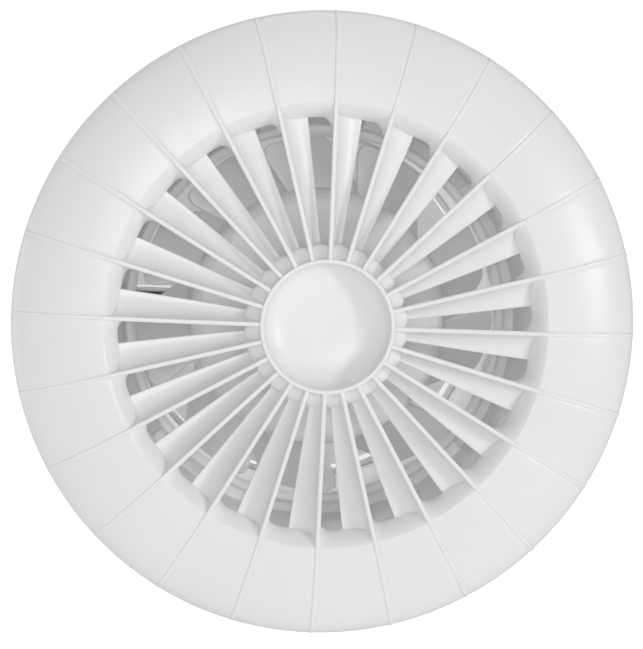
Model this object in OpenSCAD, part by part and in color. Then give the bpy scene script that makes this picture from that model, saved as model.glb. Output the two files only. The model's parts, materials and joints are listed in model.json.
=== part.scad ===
// Axial extractor fan for a round duct, with a round front cover of guide vanes.
// Millimetres. The fan's axis is Y: the room is at -Y, the duct at +Y, and the wall face is y = 0.

/* [Front cover] */
// Diameter of the front cover
cover_d = 160; // [158:1:166]
// How far the hub ring stands in front of the wall
cover_h = 26.4; // [26:0.2:28]
// Height of the widest circle of the rim above the wall
widest_z = 14; // [12:0.5:15]
// Diameter of the opening that the vanes cross
mouth_d = 106; // [104:1:107]
// Thickness of the moulded walls of the cover
cover_t = 2; // [1.6:0.1:2.4]
// Number of guide vanes
vane_count = 24; // [18:1:28]
// Thickness of a vane
vane_t = 1.2; // [1:0.1:1.6]
// Angle that a vane covers, seen from the front
vane_cover_angle = 8.2; // [6:0.1:9]

/* [Hub of the cover] */
// Outer diameter of the hub ring
hub_ring_d = 34.4; // [32:0.2:36]
// Depth of the dish inside the hub ring
dish_depth = 9; // [7:0.5:9.5]

/* [Duct] */
// Outer diameter of the duct spigot
spigot_d = 98.4; // [98:0.1:99]
// Wall thickness of the spigot
spigot_t = 1.6; // [1.4:0.1:1.7]
// How far the spigot reaches behind the wall face
spigot_len = 74; // [72:1:100]

/* [Wall fixing] */
// Diameter of the circle that the wall screws stand on
screw_circle_d = 126; // [124:1:128]
// Diameter of the wall screw holes
screw_hole_d = 4.6; // [4:0.1:5]

/* [Impeller] */
// Diameter over the blade tips
impeller_d = 93.2; // [91:0.2:93.8]
// Diameter of the impeller hub
impeller_hub_d = 67.2; // [66.6:0.2:68]
// Thickness of a blade, measured along the axis
blade_t = 1.9; // [1.6:0.1:2.4]

/* [Hidden] */

$fn = 96;
eps = 0.1;

// Front cover
cover_r = cover_d / 2;
mouth_r = mouth_d / 2;
mouth_z = 18.6;
crown_r = mouth_r + 4;
crown_z = 23.6;
cover_back_z = 0.4;
side_draft = 2.4;
mouth_skirt_z = 16;
mouth_skirt_t = 1.6;
arc_steps = 10;

// Raised lines on the rim
rib_t = 0.8;
rib_proud = 0.35;

// Hub of the cover
hub_r = hub_ring_d / 2;
hub_wall = 1;
dish_t = 1.6;
collar_r = hub_r + 3.4;
collar_z = cover_h - 5.2;
collar_back_z = collar_z - 2;

// Section of a vane: a straight front edge and a curved blade behind it
vane_front = 0.8;
vane_width = 7.2;
vane_depth = 6.2;
vane_in_r = hub_r - 0.5;
vane_out_r = mouth_r + 0.8;
vane_hub_z = cover_h - 0.4;
vane_rim_z = crown_z + rib_proud;
vane_slope = atan((vane_hub_z - vane_rim_z) / (crown_r - hub_r));

// Tongues that hold the cover in its sockets
tongue_angles = [60, 120, 240, 300];
tongue_r = 70;
tongue_w = 8;
tongue_t = 1.8;
tongue_end_z = 3.2;
tongue_top_z = 20.8;
socket_gap = 0.3;

// Housing
spigot_r = spigot_d / 2;
duct_r = spigot_r - spigot_t;
flange_r = 74.5;
flange_t = 2.4;
lip_r = duct_r + 3;
lip_z = -17;
lip_round = 0.8;
groove_z = lip_z - 3.5;
drum_in_r = mouth_r + 0.4;
drum_out_r = drum_in_r + 1.8;
drum_front_z = 13;
drum_back_z = groove_z - 1.8;
edge_t = 1.5;
edge_z = 6;
seam_angle = 15;
bridge_angles = [8, 40, 75, 108, 150, 170, 196, 222, 248, 272, 296, 317, 340];
bridge_w = 5;
notch_angles = [62, 137, 208, 287, 331];
notch_w = 6;
notch_depth = 5;
flange_rib_angles = [-30, -15, 0, 15, 30, 75, 90, 105, 255, 270, 285];
wire_slot_w = 4;
lead_gate_z = [3, 9.2];
screw_boss_r = 5;
screw_boss_h = 1.2;
socket_wall = 1.8;
socket_top_z = 10;
bridge_drop = 1.3;

// Terminal compartment, on the left of the duct as seen from the room
box_x = [-71, -54.6];
box_y = [-18.2, 14.2];
box_z = 14;
box_t = 1.2;
lid_t = 1.4;
lid_boss = [-63, 16.6];
lid_boss_r = 3;
lid_pilot_r = 1.25;
lid_rim_t = 1;
lid_gap = 0.2;
block_x = [-69, -58];
block_y = [-5, 11];
block_h = 10;
pole_y = [-1, 7];
contact_z = flange_t + 4.4;
contact_r = 2.2;
contact_bore_r = 1.4;
pole_screw_x = [-66, -61];
pole_screw_r = 1.2;
pole_screw_well_r = 1.6;
clamp_y = -13;
clamp_x = [-67, -59.6];
clamp_z = 8.4;
clamp_t = 2.4;
clamp_post_r = 1.6;
clamp_pilot_r = 1.05;
clamp_screw_r = 1;
grommet_xy = [-59.5, -25.6];
grommet_neck_r = 5.2;
grommet_bore_r = 3.6;
grommet_flange_r = 7;
grommet_flange_t = 1.6;

// Motor carrier
carrier_gap = 0.1;
ring_r = duct_r - carrier_gap;
ring_t = 1.5;
ring_z = [-62, -54];
cup_r = 32.6;
cup_t = 1.6;
cup_z = [-60, -32];
cup_floor_t = 2;
cup_boss_r = 4;
cup_boss_h = 1.4;
cooling_slot_r = [20, 27];
cooling_slot_w = 2.4;
snap_clear = 0.2;
strut_angles = [60, 180, 300];
strut_w = 3;
wire_strut_w = 6;
strut_z = [-61, -55];
snap_angles = [0, 120, 240];
snap_w = 8;
snap_h = 4;
snap_z = -60;

// Motor
stack_z = [-44, -32];
stack_mid_z = (stack_z[0] + stack_z[1]) / 2;
stack_half_w = 15;
stack_top_y = 13.5;
stack_bottom_y = -26.5;
stator_bore_r = 10.3;
limb_y = [-24, -18.5];
window_half_w = 9.5;
window_top_y = -12.9;
motor_screw_xy = [11.9, 8.2];
motor_screw_r = 1.5;
screw_clear = 0.1;
bracket_reach = 10;
bracket_bar_t = 2.2;
bracket_bar_w = 7.6;
bearing_r = 4;
bearing_len = 6;
bearing_seat_r = 6.4;
bracket_foot_r = 3.2;
motor_nut_r = 3.1;
motor_nut_h = 2.4;
shaft_r = 1.6;
running_gap = 0.05;
press_gap = 0.02;
shaft_z = [-55.2, -4.8];
rotor_r = 9.9;
shade_near = [-12.6, 1.5];
shade_far = [-8.6, 9.9];
shade_r = 0.7;
rubber_r = 3.8;
rubber_t = 2.6;
end_ring_r = [5.4, 9.4];
end_ring_t = 1.4;
thrust_r = 3.2;
thrust_gap = 0.4;
thrust_t = 0.6;

// Coil, wound round the lower limb of the stack
limb_mid_y = (limb_y[0] + limb_y[1]) / 2;
bobbin_gap = 0.1;
bobbin_t = 0.8;
bobbin_half_len = 9;
bobbin_flange_t = 1;
bobbin_half_y = 7.8;
bobbin_half_z = 10.9;
winding_half_y = 7;
winding_half_z = 10.1;
winding_corner_r = 2.4;
tape_t = 0.4;
tape_half_len = 5;

// Impeller
impeller_hub_r = impeller_hub_d / 2;
blade_angles = [0, 30, 73, 105, 135, 166, 201, 243, 274, 318];
hub_face_z = -4.4;
hub_back_z = -29;
hub_corner_r = 4;
hub_t = 1.8;
recess_r = 9;
recess_z = -8;
recess_draft = 0.8;
boss_r = 5;
boss_back_z = -20;
blade_front_z = -11;
blade_chord = 17;
blade_axial = 17;
blade_flatness = 0.45;
blade_sweep = 20;
blade_steps = 8;
blade_root = 6;
blade_reach = 22;
washer_r = 4;
washer_t = 0.5;
nut_r = 3.4;
nut_h = 2.4;

// Motor leads
lead_r = 0.75;
lead_pitch = 1.8;

// Turns the fan's own frame, with z towards the room, into the part's frame.
module fan_frame() {
    rotate([90, 0, 0]) children();
}

module ring(outer_r, inner_r, z_low, z_high) {
    translate([0, 0, z_low]) difference() {
        cylinder(r = outer_r, h = z_high - z_low);
        translate([0, 0, -eps]) cylinder(r = inner_r, h = z_high - z_low + 2 * eps);
    }
}

module block(x, y, z) {
    translate([x[0], y[0], z[0]]) cube([x[1] - x[0], y[1] - y[0], z[1] - z[0]]);
}

// A box that reaches out along the radius at an angle, centred on it.
module radial_block(angle, r, width, z) {
    rotate([0, 0, angle]) block(r, [-width / 2, width / 2], z);
}

// The rim's outside, from its back edge over the dome and down to the mouth.
function side_point(t, inset) =
    [cover_r - side_draft * pow(1 - t, 2) - inset, cover_back_z + (widest_z - cover_back_z) * t];
function dome_point(a, out) =
    [crown_r + (cover_r - crown_r + out) * cos(a), widest_z + (crown_z - widest_z + out) * sin(a)];
function roll_point(a, out) =
    [crown_r - (crown_r - mouth_r + out) * sin(a), mouth_z + (crown_z - mouth_z + out) * cos(a)];

side_steps = 4;
function side_curve(inset) = [for (i = [0:side_steps - 1]) side_point(i / side_steps, inset)];
function dome_curve(out) = [for (i = [0:arc_steps]) dome_point(90 * i / arc_steps, out)];
function roll_curve(out) = [for (i = [1:arc_steps]) roll_point(90 * i / arc_steps, out)];
function reversed(points) = [for (i = [len(points) - 1:-1:0]) points[i]];

module rim_shell() {
    rotate_extrude() polygon(concat(
        side_curve(0),
        dome_curve(0),
        roll_curve(0),
        [[mouth_r, mouth_skirt_z], [mouth_r + mouth_skirt_t, mouth_skirt_z]],
        reversed(roll_curve(-cover_t)),
        reversed(dome_curve(-cover_t)),
        reversed(side_curve(cover_t))
    ));
}

// One raised line: it runs over the dome and closes the step between a vane's edge and the rim.
module rim_rib() {
    rotate([90, 0, 0]) translate([0, 0, -rib_t / 2]) linear_extrude(height = rib_t) polygon(concat(
        dome_curve(rib_proud),
        [[mouth_r, vane_rim_z + (crown_r - mouth_r) * tan(vane_slope)], [mouth_r, mouth_z - 1]],
        [[mouth_r + mouth_skirt_t, mouth_z]],
        reversed(dome_curve(-cover_t / 2))
    ));
}

// Half of the vane's section: the outside of the bend (inset 0) or its inside (inset vane_t).
function vane_curve(inset) = [for (i = [0:arc_steps]) let (a = 90 * i / arc_steps)
    [(vane_width - inset) * cos(a) - vane_width + vane_t / 2,
     -vane_front - (vane_depth - inset) * sin(a)]];

module vane() {
    intersection() {
        translate([0, 0, vane_hub_z]) rotate([0, vane_slope, 0])
            translate([0, 0, hub_r * sin(vane_slope)])
            rotate([90, 0, 90]) linear_extrude(height = vane_out_r + 4) polygon(concat(
                [[vane_t / 2, 0]], vane_curve(0), reversed(vane_curve(vane_t)), [[-vane_t / 2, 0]]
            ));
        linear_extrude(height = cover_h + 10) difference() {
            polygon([
                [vane_in_r * cos(vane_cover_angle), 2],
                [vane_out_r, 2],
                [vane_out_r, 0],
                [vane_out_r * cos(vane_cover_angle), -vane_out_r * sin(vane_cover_angle)],
                [vane_in_r * cos(vane_cover_angle), -vane_in_r * sin(vane_cover_angle)]
            ]);
            circle(r = vane_in_r);
        }
    }
}

function dish_curve(inset) = [for (i = [0:arc_steps]) let (a = 90 * i / arc_steps)
    [(hub_r - hub_wall + inset) * cos(a), cover_h - 0.2 - (dish_depth + inset) * sin(a)]];

module cover_hub() {
    rotate_extrude() polygon(concat(
        [[hub_r - 0.2, cover_h], [hub_r, cover_h - 0.3]],
        [[hub_r, collar_z + 1.2], [collar_r, collar_z], [collar_r, collar_back_z]],
        [[hub_r - hub_wall, collar_back_z]],
        [for (p = dish_curve(dish_t)) if (p[1] < collar_z + 3 && p[0] < hub_r - hub_wall) p],
        reversed(dish_curve(0)),
        [[hub_r - hub_wall + 0.3, cover_h]]
    ));
}

module cover_tongue() {
    block([tongue_r - tongue_t / 2, tongue_r + tongue_t / 2], [-tongue_w / 2, tongue_w / 2],
          [tongue_end_z, tongue_top_z]);
}

module front_cover() {
    color("white") fan_frame() union() {
        rim_shell();
        cover_hub();
        for (i = [0:vane_count - 1]) rotate([0, 0, 360 * i / vane_count]) {
            vane();
            rim_rib();
        }
        for (a = tongue_angles) rotate([0, 0, a]) cover_tongue();
    }
}

// The turned shell; its seam stands clear of the windows and of the lead slot.
module housing_shell() {
    rotate([0, 0, seam_angle]) rotate_extrude() polygon([
        [duct_r, -spigot_len], [spigot_r, -spigot_len], [spigot_r, drum_back_z],
        [drum_out_r, drum_back_z], [drum_out_r, 0], [flange_r, 0], [flange_r, edge_z],
        [flange_r - edge_t, edge_z], [flange_r - edge_t, flange_t], [drum_out_r, flange_t],
        [drum_out_r, drum_front_z], [drum_in_r, drum_front_z], [drum_in_r, groove_z],
        [lip_r, groove_z], [lip_r, lip_z - lip_round], [lip_r - lip_round, lip_z],
        [duct_r + lip_round, lip_z], [duct_r, lip_z - lip_round]
    ]);
}

module tongue_socket() {
    half_t = tongue_t / 2 + socket_gap;
    half_w = tongue_w / 2 + socket_gap;
    outer_w = half_w + socket_wall;
    difference() {
        block([tongue_r - half_t - socket_wall, flange_r - edge_t / 2], [-outer_w, outer_w],
              [flange_t - eps, socket_top_z]);
        block([tongue_r - half_t, tongue_r + half_t], [-half_w, half_w], [flange_t, socket_top_z + eps]);
    }
}

module terminal_box() {
    difference() {
        block(box_x, box_y, [flange_t - eps, box_z]);
        block([box_x[0] + box_t, box_x[1] - box_t], [box_y[0] + box_t, box_y[1] - box_t],
              [flange_t, box_z + eps]);
    }
    translate([lid_boss[0], lid_boss[1], flange_t - eps])
        cylinder(r = lid_boss_r, h = box_z - flange_t + eps);
    for (x = clamp_x) translate([x, clamp_y, flange_t - eps])
        cylinder(r = clamp_post_r, h = clamp_z - flange_t + eps);
}

module housing() {
    cable_gate_w = 7;
    clamp_mid_x = (clamp_x[0] + clamp_x[1]) / 2;
    color("gainsboro") fan_frame() difference() {
        union() {
            housing_shell();
            terminal_box();
            for (a = tongue_angles) rotate([0, 0, a]) tongue_socket();
            for (a = flange_rib_angles)
                radial_block(a, [drum_out_r - eps, flange_r - edge_t + eps], box_t,
                             [flange_t - eps, edge_z]);
            for (a = bridge_angles)
                radial_block(a, [lip_r - lip_round, drum_in_r + eps], bridge_w,
                             [groove_z - eps, lip_z - bridge_drop]);
            for (i = [0:3]) rotate([0, 0, 45 + 90 * i])
                translate([screw_circle_d / 2, 0, flange_t - eps])
                cylinder(r = screw_boss_r, h = screw_boss_h + eps);
        }
        // wall screw holes
        for (i = [0:3]) rotate([0, 0, 45 + 90 * i]) translate([screw_circle_d / 2, 0, -eps])
            cylinder(r = screw_hole_d / 2, h = flange_t + screw_boss_h + 2 * eps);
        // notches in the front edge of the drum
        for (a = notch_angles)
            radial_block(a, [drum_in_r - 1, drum_out_r + 1], notch_w,
                         [drum_front_z - notch_depth, drum_front_z + eps]);
        // windows for the carrier's snaps
        for (a = snap_angles)
            radial_block(a, [duct_r - 1, spigot_r + 1], snap_w + 2 * snap_clear,
                         [snap_z - snap_clear, snap_z + snap_h + snap_clear]);
        // way of the motor leads: through the drum, over the lip, then down inside the spigot's wall
        block([box_x[1] - box_t - eps, -drum_in_r + 1], [block_y[0], block_y[1] - 2], lead_gate_z);
        block([-drum_in_r + 0.2, -duct_r + 1], [-wire_slot_w / 2, wire_slot_w / 2],
              [groove_z, lip_z + eps]);
        block([-spigot_r - eps, -duct_r + 1], [-wire_slot_w / 2, wire_slot_w / 2],
              [strut_z[1] - 1, groove_z + eps]);
        // cable entry and its gate into the terminal compartment
        translate([grommet_xy[0], grommet_xy[1], -eps]) cylinder(r = grommet_neck_r, h = 6);
        block([clamp_mid_x - cable_gate_w / 2, clamp_mid_x + cable_gate_w / 2],
              [box_y[0] - eps, box_y[0] + box_t + eps], [flange_t, flange_t + cable_gate_w]);
        // screw holes of the lid and of the cable clamp
        translate([lid_boss[0], lid_boss[1], box_z / 2]) cylinder(r = lid_pilot_r, h = box_z);
        for (x = clamp_x) translate([x, clamp_y, flange_t + 1]) cylinder(r = clamp_pilot_r, h = clamp_z);
    }
}

module motor_carrier() {
    snap_in = ring_r - ring_t / 2;
    color("lightgrey") fan_frame() difference() {
        union() {
            ring(ring_r, ring_r - ring_t, ring_z[0], ring_z[1]);
            difference() {
                translate([0, 0, cup_z[0]]) cylinder(r = cup_r, h = cup_z[1] - cup_z[0]);
                translate([0, 0, cup_z[0] + cup_floor_t])
                    cylinder(r = cup_r - cup_t, h = cup_z[1] - cup_z[0]);
            }
            for (a = strut_angles)
                radial_block(a, [cup_r - cup_t / 2, ring_r - ring_t / 2],
                             a == 180 ? wire_strut_w : strut_w, strut_z);
            for (s = [-1, 1]) translate([s * motor_screw_xy[0], s * motor_screw_xy[1], cup_z[0] + 1])
                cylinder(r = cup_boss_r, h = cup_floor_t - 1 + cup_boss_h);
            for (a = snap_angles) intersection() {
                radial_block(a, [snap_in, spigot_r + 1], snap_w, [snap_z, snap_z + snap_h]);
                ring(spigot_r - snap_clear, snap_in, snap_z, snap_z + snap_h);
            }
        }
        for (s = [-1, 1]) translate([s * motor_screw_xy[0], s * motor_screw_xy[1], cup_z[0] - eps])
            cylinder(r = motor_screw_r + screw_clear, h = 6);
        // cooling slots in the floor of the cup
        for (a = [0:30:330]) if (a != 180)
            radial_block(a, cooling_slot_r, cooling_slot_w, [cup_z[0] - eps, cup_z[0] + cup_floor_t + eps]);
        // channel of the motor leads
        block([-ring_r - 1, -cup_r + cup_t + 3], [-wire_slot_w / 2, wire_slot_w / 2],
              [strut_z[1] - 2, strut_z[1] + 5]);
    }
}

module terminal_block() {
    color("ivory") fan_frame() difference() {
        union() {
            for (y = pole_y) block(block_x, [y - 4, y + 4], [flange_t, flange_t + block_h - 2]);
            for (y = pole_y) block([block_x[0] + 1, block_x[1] - 1], [y - 3.2, y + 3.2],
                                   [flange_t + 4, flange_t + block_h]);
        }
        for (y = pole_y) {
            translate([block_x[0] - eps, y, contact_z]) rotate([0, 90, 0])
                cylinder(r = contact_r, h = block_x[1] - block_x[0] + 1);
            for (x = pole_screw_x) translate([x, y, contact_z])
                cylinder(r = pole_screw_well_r, h = block_h);
        }
    }
}

module terminal_contacts() {
    color("goldenrod") fan_frame() for (y = pole_y) difference() {
        translate([block_x[0] + 1, y, contact_z]) rotate([0, 90, 0])
            cylinder(r = contact_r - press_gap, h = block_x[1] - block_x[0] - 2);
        translate([block_x[0], y, contact_z]) rotate([0, 90, 0])
            cylinder(r = contact_bore_r, h = block_x[1] - block_x[0]);
        for (x = pole_screw_x) translate([x, y, contact_z])
            cylinder(r = pole_screw_r + eps / 2, h = 2 * contact_r);
    }
}

module terminal_screws() {
    color("silver") fan_frame() for (y = pole_y, x = pole_screw_x) difference() {
        translate([x, y, contact_z + 0.6]) union() {
            cylinder(r = pole_screw_r, h = 4.6);
            translate([0, 0, 2.2]) cylinder(r = pole_screw_well_r - eps, h = 2.2);
        }
        block([x - 2, x + 2], [y - 0.25, y + 0.25], [contact_z + 4.4, contact_z + 6]);
    }
}

module terminal_cover() {
    rim_out = box_t + lid_gap;
    rim_in = rim_out + lid_rim_t;
    color("white") fan_frame() difference() {
        union() {
            block(box_x, box_y, [box_z, box_z + lid_t]);
            block([box_x[0] + rim_out, box_x[1] - rim_out], [box_y[0] + rim_out, box_y[1] - rim_out],
                  [box_z - 1, box_z + eps]);
            translate([lid_boss[0], lid_boss[1], box_z]) cylinder(r = lid_boss_r, h = lid_t);
        }
        block([box_x[0] + rim_in, box_x[1] - rim_in], [box_y[0] + rim_in, box_y[1] - rim_in],
              [box_z - 2, box_z]);
        translate([lid_boss[0], lid_boss[1], box_z - 2]) cylinder(r = 1.5, h = 6);
    }
}

// A screw with its head's underside at the origin and its shank towards -z.
module pan_screw(shank_r, shank_len, head_r, head_h) {
    slot_w = 0.6;
    slot_half_len = head_r * 0.65;
    difference() {
        union() {
            translate([0, 0, -shank_len]) cylinder(r = shank_r, h = shank_len + eps);
            cylinder(r = head_r, h = head_h);
        }
        for (a = [0, 90]) rotate([0, 0, a])
            block([-slot_half_len, slot_half_len], [-slot_w / 2, slot_w / 2],
                  [head_h - slot_w, head_h + eps]);
    }
}

module terminal_cover_screw() {
    color("silver") fan_frame() translate([lid_boss[0], lid_boss[1], box_z + lid_t])
        pan_screw(1.2, 8, 2.6, 1.5);
}

module cable_clamp() {
    color("ivory") fan_frame() difference() {
        union() {
            block([clamp_x[0] - 2, clamp_x[1] + 2], [clamp_y - 2, clamp_y + 2],
                  [clamp_z, clamp_z + clamp_t]);
            for (y = [clamp_y - 1.2, clamp_y + 1.2])
                block([clamp_x[0] + 2, clamp_x[1] - 2], [y - 0.4, y + 0.4], [clamp_z - 0.6, clamp_z + eps]);
        }
        for (x = clamp_x) translate([x, clamp_y, clamp_z - 1])
            cylinder(r = clamp_screw_r + 0.2, h = 2 * clamp_t);
    }
}

module clamp_screws() {
    color("silver") fan_frame() for (x = clamp_x) translate([x, clamp_y, clamp_z + clamp_t])
        pan_screw(clamp_screw_r, 6.4, 2 * clamp_screw_r, 1.3);
}

module cable_grommet() {
    color("dimgrey") fan_frame() translate([grommet_xy[0], grommet_xy[1], 0]) rotate_extrude() polygon([
        [grommet_bore_r, 0], [grommet_neck_r - press_gap, 0], [grommet_neck_r - press_gap, flange_t],
        [grommet_flange_r, flange_t], [grommet_flange_r, flange_t + grommet_flange_t - 0.4],
        [grommet_flange_r - 0.4, flange_t + grommet_flange_t], [grommet_bore_r, flange_t + grommet_flange_t]
    ]);
}

// The route of a lead from the terminal block to the coil. side is 1 or -1.
function lead_route(side, pole) = let (y = side * lead_pitch / 2) [
    [block_x[1] + 0.1, pole, contact_z],
    [-56, pole * 0.8 + y * 0.2, contact_z],
    [-53.6, pole * 0.3 + y * 0.7, 5.4],
    [-52.4, y, 2],
    [-52.4, y, -14],
    [-51.9, y, -17],
    [-50.6, y, -18.3],
    [-49.2, y, -18.9],
    [-48.5, y, -20],
    [-48.4, y, -22],
    [-48.4, y, -53],
    [-47.6, y, -55.2],
    [-45.6, y, -56.1],
    [-33, y, -56.1],
    [-28.5, y, -56],
    [-25 + 0.5 * y, 0.9 * y - 3, -55.2],
    [-21.5 + y, 0.8 * y - 8, -53.4],
    [-18 + y, 0.7 * y - 13, -51],
    [-14.6 + y, 0.7 * y - 17, -49],
    [-10, 2 * y - 19.4, -47.4]
];

// A round tube along a route: a ring of points at each place, square to the route there.
module tube(route, radius, sides) {
    last = len(route) - 1;
    function unit(v) = v / norm(v);
    function heading(i) = unit(route[min(i + 1, last)] - route[max(i - 1, 0)]);
    // the rings lean on the y axis, which no stretch of the route is parallel to
    function across(i) = unit(cross(heading(i), [0, 1, 0.2]));
    function upward(i) = cross(heading(i), across(i));
    points = [for (i = [0:last], k = [0:sides - 1])
        route[i] + radius * (cos(360 * k / sides) * across(i) + sin(360 * k / sides) * upward(i))];
    walls = [for (i = [0:last - 1], k = [0:sides - 1]) let (next = (k + 1) % sides)
        [i * sides + k, i * sides + next, (i + 1) * sides + next, (i + 1) * sides + k]];
    start = [for (k = [sides - 1:-1:0]) k];
    end = [for (k = [0:sides - 1]) last * sides + k];
    polyhedron(points = points, faces = concat([start], [end], walls), convexity = 6);
}

module lead_live() {
    color("saddlebrown") fan_frame() tube(lead_route(1, pole_y[1]), lead_r, 10);
}

module lead_neutral() {
    color("steelblue") fan_frame() tube(lead_route(-1, pole_y[0]), lead_r, 10);
}

module stator_core() {
    color("slategrey") fan_frame() translate([0, 0, stack_z[0]])
        linear_extrude(height = stack_z[1] - stack_z[0]) difference() {
            polygon([
                [-stack_half_w, stack_bottom_y + 1.5], [-stack_half_w + 1.5, stack_bottom_y],
                [stack_half_w - 1.5, stack_bottom_y], [stack_half_w, stack_bottom_y + 1.5],
                [stack_half_w, stack_top_y - 3], [stack_half_w - 3, stack_top_y],
                [3 - stack_half_w, stack_top_y], [-stack_half_w, stack_top_y - 3]
            ]);
            circle(r = stator_bore_r);
            translate([-window_half_w, limb_y[1]])
                square([2 * window_half_w, window_top_y - limb_y[1]]);
            // the coil passes below the limb
            translate([-window_half_w, stack_bottom_y - 1])
                square([2 * window_half_w, limb_y[0] - stack_bottom_y + 1]);
            for (s = [-1, 1]) {
                translate([s * motor_screw_xy[0], s * motor_screw_xy[1]])
                    circle(r = motor_screw_r + screw_clear);
                for (p = [shade_near, shade_far]) translate(s * p) circle(r = shade_r + press_gap);
            }
        }
}

module coil_bobbin() {
    tube_y = (limb_y[1] - limb_y[0]) / 2 + bobbin_gap;
    tube_z = (stack_z[1] - stack_z[0]) / 2 + bobbin_gap;
    color("wheat") fan_frame() translate([0, limb_mid_y, stack_mid_z]) difference() {
        union() {
            block([-bobbin_half_len, bobbin_half_len], [-tube_y - bobbin_t, tube_y + bobbin_t],
                  [-tube_z - bobbin_t, tube_z + bobbin_t]);
            for (x = [-bobbin_half_len, bobbin_half_len - bobbin_flange_t])
                block([x, x + bobbin_flange_t], [-bobbin_half_y, bobbin_half_y],
                      [-bobbin_half_z, bobbin_half_z]);
        }
        block([-bobbin_half_len - eps, bobbin_half_len + eps], [-tube_y, tube_y], [-tube_z, tube_z]);
    }
}

// A box with rounded edges along x.
module rounded_bar(half_x, half_y, half_z, corner_r) {
    union() {
        block([-half_x, half_x], [-half_y + corner_r, half_y - corner_r], [-half_z, half_z]);
        block([-half_x, half_x], [-half_y, half_y], [-half_z + corner_r, half_z - corner_r]);
        for (y = [-half_y + corner_r, half_y - corner_r], z = [-half_z + corner_r, half_z - corner_r])
            translate([-half_x, y, z]) rotate([0, 90, 0])
            cylinder(r = corner_r, h = 2 * half_x);
    }
}

module coil_winding() {
    core_y = (limb_y[1] - limb_y[0]) / 2 + bobbin_gap + bobbin_t + press_gap;
    core_z = (stack_z[1] - stack_z[0]) / 2 + bobbin_gap + bobbin_t + press_gap;
    half_x = bobbin_half_len - bobbin_flange_t;
    color("peru") fan_frame() translate([0, limb_mid_y, stack_mid_z]) difference() {
        rounded_bar(half_x, winding_half_y, winding_half_z, winding_corner_r);
        block([-half_x - eps, half_x + eps], [-core_y, core_y], [-core_z, core_z]);
    }
}

module coil_tape() {
    color("khaki") fan_frame() translate([0, limb_mid_y, stack_mid_z]) difference() {
        rounded_bar(tape_half_len, winding_half_y + tape_t, winding_half_z + tape_t,
                    winding_corner_r + tape_t);
        rounded_bar(tape_half_len + eps, winding_half_y, winding_half_z, winding_corner_r);
    }
}

module shading_rings() {
    bar_h = 1.4;
    color("chocolate") fan_frame() for (s = [-1, 1]) union() {
        for (p = [shade_near, shade_far]) translate([s * p[0], s * p[1], stack_z[0] - bar_h / 2])
            cylinder(r = shade_r, h = stack_z[1] - stack_z[0] + bar_h);
        for (z = [stack_z[0] - bar_h, stack_z[1]]) translate([s * shade_near[0], s * shade_near[1], z])
            rotate([0, 0, atan2(s * (shade_far[1] - shade_near[1]), s * (shade_far[0] - shade_near[0]))])
            block([-shade_r - 0.2, norm(shade_far - shade_near) + shade_r + 0.2],
                  [-shade_r - 0.1, shade_r + 0.1], [0, bar_h]);
    }
}

// A bridge over one face of the stack that carries a bearing. It is drawn for the front face.
module bracket() {
    bar_z = bracket_reach - bracket_bar_t;
    reach = norm(motor_screw_xy);
    rotate([0, 0, atan2(motor_screw_xy[1], motor_screw_xy[0])]) difference() {
        union() {
            block([-reach, reach], [-bracket_bar_w / 2, bracket_bar_w / 2], [bar_z, bracket_reach]);
            for (s = [-1, 1]) translate([s * reach, 0, 0]) cylinder(r = bracket_foot_r, h = bar_z + eps);
            for (s = [-1, 1]) translate([s * reach, 0, bar_z])
                cylinder(r = bracket_bar_w / 2, h = bracket_bar_t);
            translate([0, 0, bracket_reach - bearing_len]) cylinder(r = bearing_seat_r, h = bearing_len);
        }
        translate([0, 0, bracket_reach - bearing_len - eps])
            cylinder(r = bearing_r + press_gap, h = bearing_len + 2 * eps);
        for (s = [-1, 1]) translate([s * reach, 0, -eps])
            cylinder(r = motor_screw_r + screw_clear, h = bracket_reach + 1);
    }
}

module front_bracket() {
    color("darkgrey") fan_frame() translate([0, 0, stack_z[1]]) bracket();
}

module rear_bracket() {
    color("darkgrey") fan_frame() translate([0, 0, stack_z[0]]) mirror([0, 0, 1]) bracket();
}

module front_bearing() {
    z_high = stack_z[1] + bracket_reach;
    color("goldenrod") fan_frame() ring(bearing_r, shaft_r + running_gap, z_high - bearing_len, z_high);
}

module rear_bearing() {
    z_low = stack_z[0] - bracket_reach;
    color("goldenrod") fan_frame() ring(bearing_r, shaft_r + running_gap, z_low, z_low + bearing_len);
}

module motor_screws() {
    head_z = stack_z[1] + bracket_reach;
    color("silver") fan_frame() for (s = [-1, 1])
        translate([s * motor_screw_xy[0], s * motor_screw_xy[1], head_z])
        pan_screw(motor_screw_r, head_z - cup_z[0] + motor_nut_h + 0.6, 2.8, 2);
}

module motor_nuts() {
    color("silver") fan_frame() for (s = [-1, 1])
        translate([s * motor_screw_xy[0], s * motor_screw_xy[1], cup_z[0] - motor_nut_h]) difference() {
            cylinder(r = motor_nut_r, h = motor_nut_h, $fn = 6);
            translate([0, 0, -eps]) cylinder(r = motor_screw_r + press_gap, h = motor_nut_h + 2 * eps);
        }
}

module rubber_mounts() {
    z_high = stack_z[0] - bracket_reach;
    color("dimgrey") fan_frame() for (s = [-1, 1])
        translate([s * motor_screw_xy[0], s * motor_screw_xy[1], 0])
        ring(rubber_r, motor_screw_r + screw_clear, z_high - rubber_t, z_high);
}

module rotor_core() {
    color("slategrey") fan_frame() ring(rotor_r, shaft_r + press_gap, stack_z[0], stack_z[1]);
}

module rotor_end_rings() {
    color("lightsteelblue") fan_frame() {
        ring(end_ring_r[1], end_ring_r[0], stack_z[1], stack_z[1] + end_ring_t);
        ring(end_ring_r[1], end_ring_r[0], stack_z[0] - end_ring_t, stack_z[0]);
    }
}

module shaft() {
    color("silver") fan_frame() translate([0, 0, shaft_z[0]])
        cylinder(r = shaft_r, h = shaft_z[1] - shaft_z[0]);
}

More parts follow.
